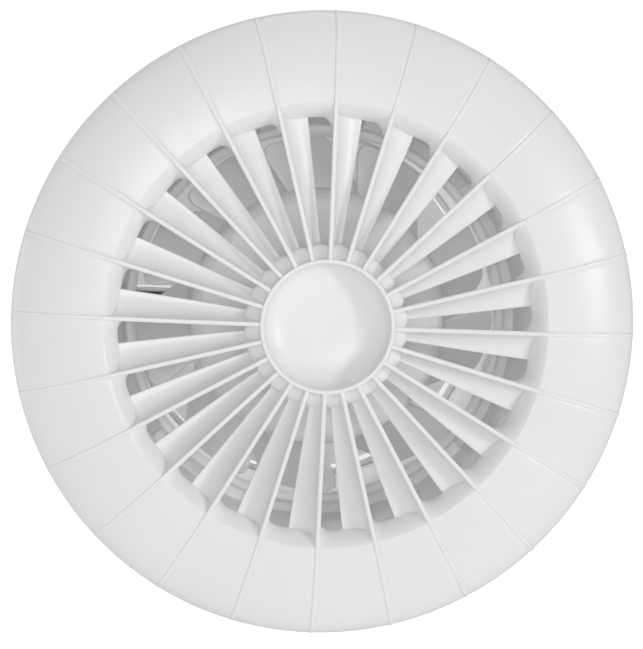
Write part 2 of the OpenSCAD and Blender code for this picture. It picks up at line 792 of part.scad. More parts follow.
module thrust_washers() {
    face = bracket_reach - bearing_len - thrust_gap;
    color("ivory") fan_frame() {
        ring(thrust_r, shaft_r + press_gap, stack_z[1] + face - thrust_t, stack_z[1] + face);
        ring(thrust_r, shaft_r + press_gap, stack_z[0] - face, stack_z[0] - face + thrust_t);
    }
}

// The camber line of a blade, from its front edge (s = 0) to its back edge (s = 1).
function blade_point(s, side) = [
    -blade_chord * s,
    blade_front_z - blade_axial * (blade_flatness * s + (1 - blade_flatness) * s * s) + side * blade_t / 2
];
function blade_side(side) = [for (i = [0:blade_steps]) blade_point(i / blade_steps, side)];

module blades() {
    intersection() {
        for (a = blade_angles) rotate([0, 0, a]) translate([impeller_hub_r - 1, 0, 0])
            rotate([0, 0, blade_sweep]) translate([-blade_root, 0, 0])
            rotate([90, 0, 90]) linear_extrude(height = blade_root + blade_reach)
            polygon(concat(blade_side(1), reversed(blade_side(-1))));
        ring(impeller_d / 2, impeller_hub_r - hub_t / 2, hub_back_z, hub_face_z);
    }
}

function hub_corner(r, corner) = [for (i = [0:4]) let (a = 90 * i / 4)
    [r - corner + corner * sin(a), hub_face_z - hub_corner_r + corner * cos(a)]];

module impeller() {
    color("whitesmoke") fan_frame() union() {
        rotate_extrude() polygon(concat(
            [[shaft_r + press_gap, recess_z], [recess_r - recess_draft, recess_z], [recess_r, hub_face_z]],
            hub_corner(impeller_hub_r, hub_corner_r),
            [[impeller_hub_r, hub_back_z], [impeller_hub_r - hub_t, hub_back_z]],
            reversed(hub_corner(impeller_hub_r - hub_t, hub_corner_r - hub_t)),
            [[recess_r + hub_t - recess_draft / 2, hub_face_z - hub_t]],
            [[recess_r + hub_t - recess_draft, recess_z - hub_t]],
            [[boss_r, recess_z - hub_t], [boss_r, boss_back_z], [shaft_r + press_gap, boss_back_z]]
        ));
        blades();
    }
}

module impeller_washer() {
    color("silver") fan_frame() ring(washer_r, shaft_r + press_gap, recess_z, recess_z + washer_t);
}

module impeller_nut() {
    color("silver") fan_frame() translate([0, 0, recess_z + washer_t]) difference() {
        cylinder(r = nut_r, h = nut_h, $fn = 6);
        translate([0, 0, -eps]) cylinder(r = shaft_r + press_gap, h = nut_h + 2 * eps);
    }
}

front_cover();
housing();
motor_carrier();
terminal_block();
terminal_contacts();
terminal_screws();
terminal_cover();
terminal_cover_screw();
cable_clamp();
clamp_screws();
cable_grommet();
lead_live();
lead_neutral();
stator_core();
coil_bobbin();
coil_winding();
coil_tape();
shading_rings();
front_bracket();
rear_bracket();
front_bearing();
rear_bearing();
motor_screws();
motor_nuts();
rubber_mounts();
rotor_core();
rotor_end_rings();
shaft();
thrust_washers();
impeller();
impeller_washer();
impeller_nut();
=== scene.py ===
"""Looks of the extractor fan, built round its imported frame. Lengths in the tables below are millimetres."""

import json
import math

import bpy
import bmesh
import numpy as np
from mathutils import Matrix, Vector


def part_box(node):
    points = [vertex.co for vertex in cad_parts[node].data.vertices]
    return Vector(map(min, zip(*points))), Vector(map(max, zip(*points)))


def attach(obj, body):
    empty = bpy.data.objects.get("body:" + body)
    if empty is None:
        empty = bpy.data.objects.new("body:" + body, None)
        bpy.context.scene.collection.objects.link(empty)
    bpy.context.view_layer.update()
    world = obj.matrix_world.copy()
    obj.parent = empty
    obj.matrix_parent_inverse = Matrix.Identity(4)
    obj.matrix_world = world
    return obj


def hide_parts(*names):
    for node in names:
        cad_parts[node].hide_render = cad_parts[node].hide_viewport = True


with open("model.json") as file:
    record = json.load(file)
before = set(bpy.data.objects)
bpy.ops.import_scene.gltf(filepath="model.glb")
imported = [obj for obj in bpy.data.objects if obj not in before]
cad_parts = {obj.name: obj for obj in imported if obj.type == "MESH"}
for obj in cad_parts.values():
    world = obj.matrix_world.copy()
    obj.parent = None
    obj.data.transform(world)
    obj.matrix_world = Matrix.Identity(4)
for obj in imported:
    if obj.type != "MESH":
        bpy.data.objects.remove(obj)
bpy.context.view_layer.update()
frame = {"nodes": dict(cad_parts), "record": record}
nodes = frame["nodes"]
MM = 0.001


def place(points):
    """Points of the fan's own frame (x right, y up, z towards the room) in the row frame, in metres."""
    p = np.asarray(points, float).reshape(-1, 3)
    return np.column_stack([p[:, 0], -p[:, 2], p[:, 1]]) * MM


# ---------------------------------------------------------------- materials

class Look:
    """A node material built step by step. Every pattern is laid out in object coordinates."""

    def __init__(self, name):
        self.material = bpy.data.materials.new(name)
        self.material.use_nodes = True
        self.tree = self.material.node_tree
        self.tree.nodes.clear()
        self.shader = self.add("ShaderNodeBsdfPrincipled")
        out = self.add("ShaderNodeOutputMaterial")
        self.link(self.shader.outputs["BSDF"], out.inputs["Surface"])
        self.place = self.add("ShaderNodeTexCoord").outputs["Object"]

    def add(self, kind, **settings):
        node = self.tree.nodes.new(kind)
        for key, value in settings.items():
            setattr(node, key, value)
        return node

    def link(self, a, b):
        self.tree.links.new(a, b)

    def stretched(self, scale):
        mapping = self.add("ShaderNodeMapping")
        mapping.inputs["Scale"].default_value = scale
        self.link(self.place, mapping.inputs["Vector"])
        return mapping.outputs["Vector"]

    def noise(self, scale, detail=3.0, rough=0.5, stretch=None):
        node = self.add("ShaderNodeTexNoise")
        node.inputs["Scale"].default_value = scale
        node.inputs["Detail"].default_value = detail
        node.inputs["Roughness"].default_value = rough
        self.link(self.stretched(stretch) if stretch else self.place, node.inputs["Vector"])
        return node.outputs["Fac"]

    def bands(self, direction, pitch, distortion=0.0):
        """Even bands across a direction, one in each pitch (mm)."""
        period = 0.314159  # of a wave texture at scale 1
        node = self.add("ShaderNodeTexWave", wave_type="BANDS", bands_direction=direction, wave_profile="SIN")
        node.inputs["Scale"].default_value = period / (pitch * MM)
        node.inputs["Distortion"].default_value = distortion
        node.inputs["Detail"].default_value = 1.0
        self.link(self.place, node.inputs["Vector"])
        return node.outputs["Fac"]

    def cells(self, scale):
        node = self.add("ShaderNodeTexVoronoi", feature="F1")
        node.inputs["Scale"].default_value = scale
        self.link(self.place, node.inputs["Vector"])
        return node.outputs["Distance"]

    def spread(self, fac, low, high, out_low, out_high):
        """Takes low..high of a pattern to out_low..out_high."""
        node = self.add("ShaderNodeMapRange")
        ends = {"From Min": low, "From Max": high, "To Min": out_low, "To Max": out_high}
        for key, value in ends.items():
            node.inputs[key].default_value = value
        self.link(fac, node.inputs["Value"])
        return node.outputs["Result"]

    def mixed(self, fac, a, b):
        """A colour between a and b."""
        node = self.add("ShaderNodeMix", data_type="RGBA")
        share, first, second = node.inputs[0], node.inputs[6], node.inputs[7]
        first.default_value, second.default_value = (*a, 1), (*b, 1)
        self.link(fac, share)
        return node.outputs[2]

    def bump(self, height, strength, distance, under=None):
        node = self.add("ShaderNodeBump")
        node.inputs["Strength"].default_value = strength
        node.inputs["Distance"].default_value = distance * MM
        self.link(height, node.inputs["Height"])
        if under is not None:
            self.link(under, node.inputs["Normal"])
        return node.outputs["Normal"]

    def rounded_edges(self, radius):
        node = self.add("ShaderNodeBevel", samples=4)
        node.inputs["Radius"].default_value = radius * MM
        return node.outputs["Normal"]

    def set(self, **values):
        """Links patterns to the shader's sockets, and sets plain values on the sockets themselves."""
        for key, value in values.items():
            socket = self.shader.inputs[key.replace("_", " ")]
            if hasattr(value, "is_linked"):
                self.link(value, socket)
            else:
                socket.default_value = value


def plastic(name, light, dark, rough, grain=0.25, relief=0.012, edge=0.0, milky=0.0):
    """Moulded plastic: slow drifts of tone, a fine grain in relief and roughness, and faint flow marks.
    Grain, relief and edge are in mm; milky is the share of light that enters the plastic."""
    look = Look(name)
    drift = look.noise(38, 2)
    flow = look.noise(22, 4, 0.6, stretch=(1.0, 6.0, 1.0))
    fine = look.noise(1 / (grain * MM), 3, 0.6)
    tone = look.mixed(look.spread(drift, 0.3, 0.7, 0, 1), light, dark)
    look.set(Base_Color=tone,
             Roughness=look.spread(fine, 0.3, 0.7, rough - 0.04, rough + 0.05),
             IOR=1.49)
    if milky:
        look.set(Subsurface_Weight=milky, Subsurface_Radius=(1.0, 1.0, 1.0), Subsurface_Scale=1.2 * MM)
    under = look.rounded_edges(edge) if edge else None
    normal = look.bump(flow, 0.12, 0.05, under)
    look.set(Normal=look.bump(fine, 0.5, relief, normal))
    return look.material


def metal(name, light, dark, rough, lines=(1, 1, 1), grain=0.12, relief=0.006, edge=0.15):
    """Bare metal: fine marks drawn along one direction, patches of a duller tone, soft edges."""
    look = Look(name)
    marks = look.noise(1 / (grain * MM), 4, 0.6, stretch=lines)
    patches = look.noise(160, 3, 0.55)
    look.set(Base_Color=look.mixed(look.spread(patches, 0.35, 0.7, 0, 1), light, dark), Metallic=1.0,
             Roughness=look.spread(marks, 0.3, 0.7, rough - 0.07, rough + 0.1))
    look.set(Normal=look.bump(marks, 0.4, relief, look.rounded_edges(edge)))
    return look.material


def laminations(name):
    """A stack of half-millimetre steel sheets, seen as fine lines on every side of the stack."""
    look = Look(name)
    sheets = look.bands("Y", 0.5, 0.3)
    tint = look.noise(240, 3, 0.6)
    tone = look.mixed(look.spread(tint, 0.3, 0.7, 0, 1), (0.36, 0.37, 0.39), (0.24, 0.24, 0.25))
    look.set(Base_Color=tone, Metallic=1.0, Roughness=look.spread(sheets, 0, 1, 0.55, 0.35))
    look.set(Normal=look.bump(sheets, 0.6, 0.08))
    return look.material


def winding(name):
    """Enamelled copper wire, laid turn by turn along the coil."""
    look = Look(name)
    turns = look.bands("X", 0.36, 0.6)
    tint = look.noise(300, 3, 0.6)
    # the darker copper at each band's low point is painted shade in the groove between two turns
    tone = look.mixed(look.spread(turns, 0.1, 0.9, 1, 0), (0.72, 0.30, 0.12), (0.32, 0.10, 0.04))
    look.set(Base_Color=tone, Metallic=0.85, Roughness=look.spread(tint, 0.3, 0.7, 0.25, 0.4),
             Coat_Weight=0.5)
    look.set(Normal=look.bump(turns, 0.9, 0.15))
    return look.material


def tape(name):
    """Woven insulating tape."""
    look = Look(name)
    warp, weft = look.bands("X", 0.3), look.bands("Y", 0.3)
    weave = look.add("ShaderNodeMath", operation="MULTIPLY")
    look.link(warp, weave.inputs[0])
    look.link(weft, weave.inputs[1])
    look.set(Base_Color=look.mixed(weave.outputs[0], (0.55, 0.50, 0.30), (0.74, 0.69, 0.48)),
             Roughness=look.spread(look.noise(900, 3), 0.3, 0.7, 0.5, 0.7))
    look.set(Normal=look.bump(weave.outputs[0], 0.5, 0.05))
    return look.material


def rubber(name):
    """Soft black rubber with small specks."""
    look = Look(name)
    specks = look.cells(2600)
    tone = look.mixed(look.noise(180, 4, 0.6), (0.030, 0.030, 0.032), (0.062, 0.062, 0.064))
    look.set(Base_Color=tone, Roughness=look.spread(specks, 0, 0.6, 0.72, 0.88))
    look.set(Normal=look.bump(specks, 0.5, 0.03, look.rounded_edges(0.2)))
    return look.material


looks = {
    "cover_plastic": plastic("cover_plastic", (0.868, 0.870, 0.868), (0.842, 0.844, 0.844), 0.34,
                             grain=0.5, relief=0.006, milky=0.4),
    "casing_plastic": plastic("casing_plastic", (0.935, 0.937, 0.935), (0.905, 0.907, 0.905), 0.36,
                              grain=0.35, relief=0.012, edge=0.25),
    "impeller_plastic": plastic("impeller_plastic", (0.940, 0.942, 0.940), (0.91, 0.912, 0.91), 0.33,
                                grain=0.4, relief=0.010),
    "block_plastic": plastic("block_plastic", (0.66, 0.63, 0.52), (0.58, 0.55, 0.44), 0.42, edge=0.2),
    "bobbin_plastic": plastic("bobbin_plastic", (0.50, 0.44, 0.30), (0.40, 0.35, 0.24), 0.45, edge=0.2),
    "contact_brass": metal("contact_brass", (0.80, 0.60, 0.28), (0.62, 0.44, 0.18), 0.30),
    "bearing_bronze": metal("bearing_bronze", (0.62, 0.42, 0.20), (0.44, 0.29, 0.14), 0.42, grain=0.25,
                            relief=0.02),
    "screw_steel": metal("screw_steel", (0.68, 0.68, 0.66), (0.52, 0.52, 0.50), 0.30),
    "shaft_steel": metal("shaft_steel", (0.74, 0.74, 0.75), (0.62, 0.62, 0.63), 0.18, lines=(1, 14, 1)),
    "core_steel": laminations("core_steel"),
    "bracket_alloy": metal("bracket_alloy", (0.56, 0.57, 0.58), (0.44, 0.45, 0.46), 0.46, grain=0.4,
                           relief=0.03, edge=0.3),
    "winding_copper": winding("winding_copper"),
    "ring_copper": metal("ring_copper", (0.78, 0.38, 0.22), (0.55, 0.22, 0.12), 0.32),
    "coil_tape": tape("coil_tape"),
    "grommet_rubber": rubber("grommet_rubber"),
    "lead_brown": plastic("lead_brown", (0.17, 0.065, 0.028), (0.13, 0.048, 0.02), 0.38),
    "lead_blue": plastic("lead_blue", (0.035, 0.14, 0.42), (0.028, 0.11, 0.34), 0.38),
}
slots = {row["node"]: row["material_slot"] for row in frame["record"]["subparts"]}
for node_name, node in nodes.items():
    node.data.materials.clear()
    node.data.materials.append(looks[slots[node_name]])


def piece(name, points, faces, body, node_names, slot, crease=38):
    """A new piece from points of the fan's frame. It rides on a body and stands for the CAD nodes."""
    mesh = bpy.data.meshes.new(name)
    mesh.from_pydata([tuple(p) for p in place(points)], [], [tuple(map(int, f)) for f in faces])
    bm = bmesh.new()
    bm.from_mesh(mesh)
    bmesh.ops.recalc_face_normals(bm, faces=bm.faces)
    bm.to_mesh(mesh)
    bm.free()
    mesh.shade_smooth()
    obj = bpy.data.objects.new(name, mesh)
    bpy.context.scene.collection.objects.link(obj)
    mesh.set_sharp_from_angle(angle=math.radians(crease))
    mesh.materials.append(looks[slot])
    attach(obj, body)
    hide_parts(*node_names)
    return obj


def grid_faces(rows, cols, close_rows=False, close_cols=False, start=0):
    """Four-sided faces over a grid of points, counted row by row from start."""
    out = []
    for i in range(rows if close_rows else rows - 1):
        for j in range(cols if close_cols else cols - 1):
            a, b = i * cols + j, i * cols + (j + 1) % cols
            c, d = ((i + 1) % rows) * cols + (j + 1) % cols, ((i + 1) % rows) * cols + j
            out.append((start + a, start + b, start + c, start + d))
    return out


def revolved(profile, steps):
    """Points and faces of a closed profile of (radius, height) turned about the axis."""
    turn = np.linspace(0, 2 * math.pi, steps, endpoint=False)
    points = [(r * math.cos(t), r * math.sin(t), z) for r, z in profile for t in turn]
    return points, grid_faces(len(profile), steps, close_rows=True, close_cols=True)


# ---------------------------------------------------------------- front cover

COVER_R, MOUTH_R, CROWN_R, HUB_R = 80.0, 53.0, 57.0, 17.2
WIDEST_Z, CROWN_Z, MOUTH_Z, SKIRT_Z, BACK_Z = 14.0, 23.6, 18.6, 16.0, 0.4
SIDE_DRAFT = 2.4
DOME_CENTRE_R = 50.0  # centre of the dome's flat ellipse
ROLL_ENDS = math.radians(20), math.radians(68)  # slope of the inner roll at the crown and at the mouth
VANES = 24
PITCH = 2 * math.pi / VANES
RIDGE_HALF = 0.5
RIDGE_UP = 0.35
CORNER_R = 3.0  # rounded corner of the mouth beside each vane


def dome(r):
    """Height of the rim's outside: a flat ellipse that still rises a little where the roll begins."""
    reach = COVER_R - DOME_CENTRE_R
    rise = (CROWN_Z - WIDEST_Z) / math.sqrt(1 - ((CROWN_R - DOME_CENTRE_R) / reach) ** 2)
    return WIDEST_Z + rise * math.sqrt(max(0.0, 1 - ((r - DOME_CENTRE_R) / reach) ** 2))


def roll(t):
    """Share of the way inwards and height of the inner roll; t runs from the crown (0) to the mouth (1)."""
    first, last = ROLL_ENDS
    a = first + (last - first) * t
    inwards = (math.sin(a) - math.sin(first)) / (math.sin(last) - math.sin(first))
    upwards = (math.cos(a) - math.cos(last)) / (math.cos(first) - math.cos(last))
    return inwards, MOUTH_Z + (CROWN_Z - MOUTH_Z) * upwards


def rim_profile():
    """Rows of the rim's closed section: (radius, height, share of the mouth's corner, ridge weight)."""
    rows = []
    for t in np.linspace(0.03, 1, 12)[:-1]:  # outer side
        rows.append((COVER_R - SIDE_DRAFT * (1 - t) ** 2, BACK_Z + (WIDEST_Z - BACK_Z) * t, 0, 0))
    reach = COVER_R - DOME_CENTRE_R
    start = math.acos((CROWN_R + 0.25 - DOME_CENTRE_R) / reach)
    for k, a in enumerate(np.linspace(0, 1, 44)):  # dome, even steps along its ellipse
        r = DOME_CENTRE_R + reach * math.cos(start * a)
        rows.append((r, dome(r), 0, min(1.0, k / 5)))
    rows.append((CROWN_R + 0.08, CROWN_Z - 0.015, 0, 1))
    for t in np.linspace(0.02, 1, 16):  # inner roll
        share, z = roll(t)
        rows.append((CROWN_R, z, share, max(0.0, 1 - 5 * share)))
    rows += [(CROWN_R, MOUTH_Z - 0.8, 1, 0), (CROWN_R, SKIRT_Z + 0.3, 1, 0)]
    inside = [(MOUTH_R + 0.3, SKIRT_Z), (MOUTH_R + 1.3, SKIRT_Z), (MOUTH_R + 1.6, SKIRT_Z + 0.3),  # skirt
              (MOUTH_R + 1.7, 18.0), (MOUTH_R + 2.2, 20.0), (CROWN_R - 0.4, 21.4)]
    inside += [(r, dome(r) - 2.0) for r in np.linspace(CROWN_R + 1, 76, 16)]
    inside += [(77.2, 15.8), (77.9, 14.0), (77.3, 8.0), (75.9, 2.0), (75.8, BACK_Z), (77.5, BACK_Z)]
    return rows, inside


# Columns of one sector: distances from the ridge's middle (mm), then shares of the way to the next sector
NEAR_RIDGE = [-1.7, -1.2, -0.9, -0.74, -0.57, -0.51, -0.40, -0.15, 0.15, 0.40, 0.51, 0.57, 0.74, 0.9,
              1.2, 1.6, 2.0, 2.5, 3.0, 3.5, 4.2]
BETWEEN = [k / 11 for k in range(1, 11)]
# Height of the raised line across its width, with a fine groove on both sides
RIDGE_SECTION = {0.0: 0.30, 0.16: 0.30, 0.41: 0.25, 0.505: 0.12,
                 0.56: -0.10, 0.76: -0.10, 0.92: -0.02, 1.2: 0.0}


def ridge_height(s):
    return float(np.interp(abs(s), list(RIDGE_SECTION), list(RIDGE_SECTION.values())))


def corner_depth(s):
    """How far the mouth's edge stands inwards of its circle, at a distance s from the ridge's middle."""
    if s <= -RIDGE_HALF or s >= RIDGE_HALF + CORNER_R:
        return 0.0
    if s < RIDGE_HALF:
        return CORNER_R * (s + RIDGE_HALF) / (2 * RIDGE_HALF)
    q = s - RIDGE_HALF
    return CORNER_R - math.sqrt(CORNER_R ** 2 - (CORNER_R - q) ** 2)


def build_rim():
    outer, inner = rim_profile()
    rows = outer + [(r, z, 0, 0) for r, z in inner]
    first, last = NEAR_RIDGE[0], NEAR_RIDGE[-1]
    # the outward direction of each row, for the ridge's height
    flat = [(r - share * (r - MOUTH_R), z) for r, z, share, _ in rows]
    normals = []
    for i in range(len(flat)):
        (r0, z0), (r1, z1) = flat[i - 1], flat[(i + 1) % len(flat)]
        d = np.array([r1 - r0, z1 - z0])
        d /= np.linalg.norm(d) + 1e-9
        normals.append((d[1], -d[0]))
    points = []
    for (r, z, share, weight), (nr, nz) in zip(rows, normals):
        between_r = r - share * (r - MOUTH_R)
        a, b = math.asin(last / between_r), PITCH + math.asin(first / between_r)
        columns = []  # angle, radius and height of each column of a sector
        for s in NEAR_RIDGE:
            up = ridge_height(s) * weight
            radius = r - share * (r - (MOUTH_R - corner_depth(s))) + nr * up
            columns.append((math.asin(s / radius), radius, z + nz * up))
        columns += [(a + (b - a) * along, between_r, z) for along in BETWEEN]
        for sector in range(VANES):
            for angle, radius, height in columns:
                turn = sector * PITCH + angle
                points.append((radius * math.cos(turn), radius * math.sin(turn), height))
    columns_round = (len(NEAR_RIDGE) + len(BETWEEN)) * VANES
    faces = grid_faces(len(rows), columns_round, close_rows=True, close_cols=True)
    return piece("cover_rim", points, faces, "cover", ["front_cover"], "cover_plastic", crease=32)


VANE_T, VANE_FLAT, VANE_DEPTH = 1.15, 0.8, 5.8
VANE_HUB_Z = 26.0  # height of a vane's front edge at the hub
VANE_BACK_T = 0.95  # thickness at its back edge
# Rounded front edge, as (share of half the thickness, share of its height)
VANE_EDGE = ((0.93, 0.45), (0.72, 0.82), (0.4, 1.0), (-0.4, 1.0), (-0.72, 0.82), (-0.93, 0.45))
VANE_EDGE_H = 0.32


def vane_front(r):
    """Height of a vane's front edge along its length."""
    return VANE_HUB_Z + (CROWN_Z + RIDGE_UP - VANE_HUB_Z) * (r - HUB_R) / (CROWN_R - HUB_R)


def wall_height(r):
    """Height of the roll's surface at a radius between mouth and crown."""
    share = min(1.0, max(0.0, (CROWN_R - r) / (CROWN_R - MOUTH_R)))
    ts = np.linspace(0, 1, 40)
    return float(np.interp(share, [roll(t)[0] for t in ts], [roll(t)[1] for t in ts]))


def vane_section(r):
    """Closed section at a radius, as (sideways, depth): sideways is clockwise seen from the room."""
    share = (r - HUB_R) / (MOUTH_R - HUB_R)
    width = r * math.radians(8.4 - 0.9 * min(1.0, share))
    deepest = VANE_FLAT + VANE_DEPTH
    if r > MOUTH_R + 0.3:
        deepest = max(1.2, min(deepest, vane_front(r) - wall_height(r) + 0.7))
    a_max = math.asin(min(1.0, max(0.0, (deepest - VANE_FLAT) / VANE_DEPTH)))
    line = [(0.0, VANE_EDGE_H), (0.0, VANE_FLAT * 0.7)]
    line += [(width * (1 - math.cos(a)), VANE_FLAT + VANE_DEPTH * math.sin(a))
             for a in np.linspace(0, a_max, 14)]
    line = np.array(line)
    along = np.gradient(line, axis=0)
    along /= np.linalg.norm(along, axis=1)[:, None]
    side = np.column_stack([along[:, 1], -along[:, 0]])  # towards the blade's clockwise side
    half = 0.5 * np.linspace(VANE_T, VANE_BACK_T, len(line))[:, None]
    right, left = line + side * half, line - side * half
    cap = [(-half[0, 0] * across, VANE_EDGE_H - VANE_EDGE_H * up) for across, up in VANE_EDGE]
    tip = line[-1] + along[-1] * 0.28
    end = [tip + side[-1] * half[-1] * 0.6, tip - side[-1] * half[-1] * 0.6]
    return [tuple(p) for p in left[::-1]] + cap + [tuple(p) for p in right] + [tuple(p) for p in end]


def build_vanes():
    radii = list(np.linspace(16.6, MOUTH_R + 0.3, 26)) + list(np.linspace(MOUTH_R + 0.6, CROWN_R + 1.1, 9))
    sections = [vane_section(r) for r in radii]
    count = len(sections[0])
    points, faces = [], []
    for k in range(VANES):
        turn = k * PITCH
        er, et = np.array([math.cos(turn), math.sin(turn)]), np.array([-math.sin(turn), math.cos(turn)])
        start = len(points)
        for r, section in zip(radii, sections):
            for u, v in section:
                x, y = r * er - u * et
                points.append((x, y, vane_front(r) - v))
        faces += grid_faces(len(radii), count, close_cols=True, start=start)
        faces.append(tuple(range(start, start + count)))
        faces.append(tuple(range(start + (len(radii) - 1) * count, start + len(radii) * count)))
    return piece("cover_vanes", points, faces, "cover", ["front_cover"], "cover_plastic", crease=30)


HUB_WALL, HUB_TOP, DISH_DEPTH = 1.0, 26.4, 9.0
COLLAR_REACH, LOBE_REACH = 2.5, 1.25  # the collar between its lobes, and how much further the lobes go


def build_hub():
    """Ring, dish and the scalloped collar that joins the vanes at the hub."""
    inner, rim_z = HUB_R - HUB_WALL, HUB_TOP - 0.25
    fullness = 0.5  # 1 is a quarter ellipse, less is a steeper wall and a flatter floor

    def bowl(radius, depth, first, count):
        """A dish's section, from its wall to the axis."""
        return [(radius * math.cos(a) ** fullness, rim_z - depth * math.sin(a) ** fullness)
                for a in np.linspace(first, math.pi / 2, count)]

    dish = bowl(inner, DISH_DEPTH, 0, 40)
    under = bowl(inner + 0.9, DISH_DEPTH + 1.6, math.radians(24), 20)
    lip = [(inner + 0.02, HUB_TOP - 0.12), (inner + 0.14, HUB_TOP - 0.02), (inner + 0.3, HUB_TOP),
           (HUB_R - 0.3, HUB_TOP), (HUB_R - 0.1, HUB_TOP - 0.05), (HUB_R, rim_z), (HUB_R, 24.6)]
    # the collar's rows: share of its reach, and height
    collar = [(0.06, 23.6), (0.3, 22.9), (0.6, 22.4), (0.85, 21.9), (0.97, 21.4), (1.0, 20.9), (1.0, 19.7),
              (0.92, 19.3), (0.2, 19.2)]
    steps = VANES * 16
    rows = [("round", r, z) for r, z in dish[::-1] + lip]
    rows += [("lobed", share, z) for share, z in collar]
    rows += [("round", HUB_R - 1.2, 19.2)] + [("round", r, z) for r, z in under]
    points = []
    for kind, value, z in rows:
        for j in range(steps):
            t = 2 * math.pi * j / steps
            r = value
            if kind == "lobed":
                lobe = abs(math.sin(VANES * t / 2)) ** 0.6
                r = HUB_R + value * (COLLAR_REACH + LOBE_REACH * lobe)
            r = max(r, 0.02)
            points.append((r * math.cos(t), r * math.sin(t), z))
    faces = grid_faces(len(rows), steps, close_cols=True)
    # close the two small holes on the axis
    faces.append(tuple(range(steps)))
    faces.append(tuple(range((len(rows) - 1) * steps, len(rows) * steps)))
    return piece("cover_hub", points, faces, "cover", ["front_cover"], "cover_plastic", crease=50)


TONGUE_R = 70  # the tongues' distance from the axis


def build_tongues():
    """The four tongues that hold the cover in its sockets, tapered at their free end."""
    points, faces = [], []
    for angle in (60, 120, 240, 300):
        a = math.radians(angle)
        er, et = np.array([math.cos(a), math.sin(a)]), np.array([-math.sin(a), math.cos(a)])
        start = len(points)
        # half the thickness, half the width, height
        rows = [(0.55, 3.0, 3.2), (0.9, 3.7, 4.4), (0.9, 4.0, 5.6), (0.9, 4.0, 14.0), (0.9, 4.0, 20.6)]
        for half_t, half_w, z in rows:
            ring = []
            for sx, sy in ((1, 1), (-1, 1), (-1, -1), (1, -1)):
                for c in ((0, 0.25), (0.25, 0)) if sx * sy > 0 else ((0.25, 0), (0, 0.25)):
                    ring.append((sx * (half_t - c[0]), sy * (half_w - c[1])))
            for dr, dt in ring:
                x, y = (TONGUE_R + dr) * er + dt * et
                points.append((x, y, z))
        faces += grid_faces(len(rows), 8, close_cols=True, start=start)
        faces.append(tuple(range(start, start + 8)))
        faces.append(tuple(range(start + 8 * (len(rows) - 1), start + 8 * len(rows))))
    return piece("cover_tongues", points, faces, "cover", ["front_cover"], "cover_plastic")


build_rim()
build_vanes()
build_hub()
build_tongues()

# ---------------------------------------------------------------- impeller

HUB_D, FACE_Z, HUB_BACK_Z, BLADE_TIP = 67.2, -4.4, -29.0, 46.6
BLADES = (0, 30, 73, 105, 135, 166, 201, 243, 274, 318)  # degrees


def rounded_off(radius, distance):
    """How far a rounded corner takes an edge back, at a distance from the corner."""
    return radius - math.sqrt(max(0.0, radius ** 2 - (radius - min(radius, distance)) ** 2))


def build_impeller_hub():
    r = HUB_D / 2
    corner, inside_corner, wall, bore_r = 4.0, 2.2, 1.8, 1.62
    steps = [math.radians(a) for a in np.linspace(0, 90, 12)]
    inner = [math.radians(a) for a in np.linspace(90, 0, 8)]
    profile = [(bore_r, -8.0), (7.6, -8.0), (8.1, -7.8), (8.5, -5.2), (9.0, -4.5), (9.6, FACE_Z)]
    profile += [(r - corner + corner * math.sin(a), FACE_Z - corner + corner * math.cos(a)) for a in steps]
    profile += [(r, HUB_BACK_Z + 0.3), (r - 0.3, HUB_BACK_Z), (r - wall + 0.3, HUB_BACK_Z),
                (r - wall, HUB_BACK_Z + 0.3)]
    profile += [(r - wall - inside_corner + inside_corner * math.sin(a),
                 FACE_Z - corner + inside_corner * math.cos(a)) for a in inner]
    profile += [(10.4, FACE_Z - wall), (10.0, -9.8), (5.0, -9.8), (5.0, -20.0), (bore_r, -20.0)]
    points, faces = revolved(profile, 192)
    return piece("impeller_hub", points, faces, "rotor", ["impeller"], "impeller_plastic", crease=40)


def build_blades():
    """Cambered blades with a rounded front corner at the tip, thickened and softened along their edges."""
    points, faces = [], []
    chord, axial, flat, front, sweep = 17.0, 17.0, 0.45, -11.0, math.radians(20)
    root_r = HUB_D / 2 - 0.8
    spans, chords = 14, 18

    def swept(x, y):
        """A point of a blade at angle 0; x runs along the blade, y along its chord."""
        return (HUB_D / 2 - 1 + x * math.cos(sweep) - y * math.sin(sweep),
                x * math.sin(sweep) + y * math.cos(sweep))

    for angle in BLADES:
        cos, sin = math.cos(math.radians(angle)), math.sin(math.radians(angle))
        start = len(points)
        for i in range(chords + 1):
            s = i / chords
            y, z = -chord * s, front - axial * (flat * s + (1 - flat) * s * s)
            tip_r = BLADE_TIP - rounded_off(3.2, s * chord) - rounded_off(1.6, chord - s * chord)
            ends = []
            for target in (root_r, tip_r):  # where the blade meets the two circles, by halving
                low, high = -20.0, 40.0
                for _ in range(40):
                    mid = (low + high) / 2
                    low, high = (mid, high) if math.hypot(*swept(mid, y)) < target else (low, mid)
                ends.append((low + high) / 2)
            for j in range(spans + 1):
                px, py = swept(ends[0] + (ends[1] - ends[0]) * j / spans, y)
                points.append((px * cos - py * sin, px * sin + py * cos, z))
        faces += grid_faces(chords + 1, spans + 1, start=start)
    obj = piece("impeller_blades", points, faces, "rotor", ["impeller"], "impeller_plastic", crease=60)
    thick = obj.modifiers.new("thickness", "SOLIDIFY")
    thick.thickness, thick.offset, thick.use_even_offset = 1.5 * MM, 0, True
    soft = obj.modifiers.new("soft edges", "BEVEL")
    soft.width, soft.segments, soft.limit_method, soft.angle_limit = 0.4 * MM, 3, "ANGLE", math.radians(50)
    return obj


build_impeller_hub()
build_blades()

# ---------------------------------------------------------------- motor leads and coil


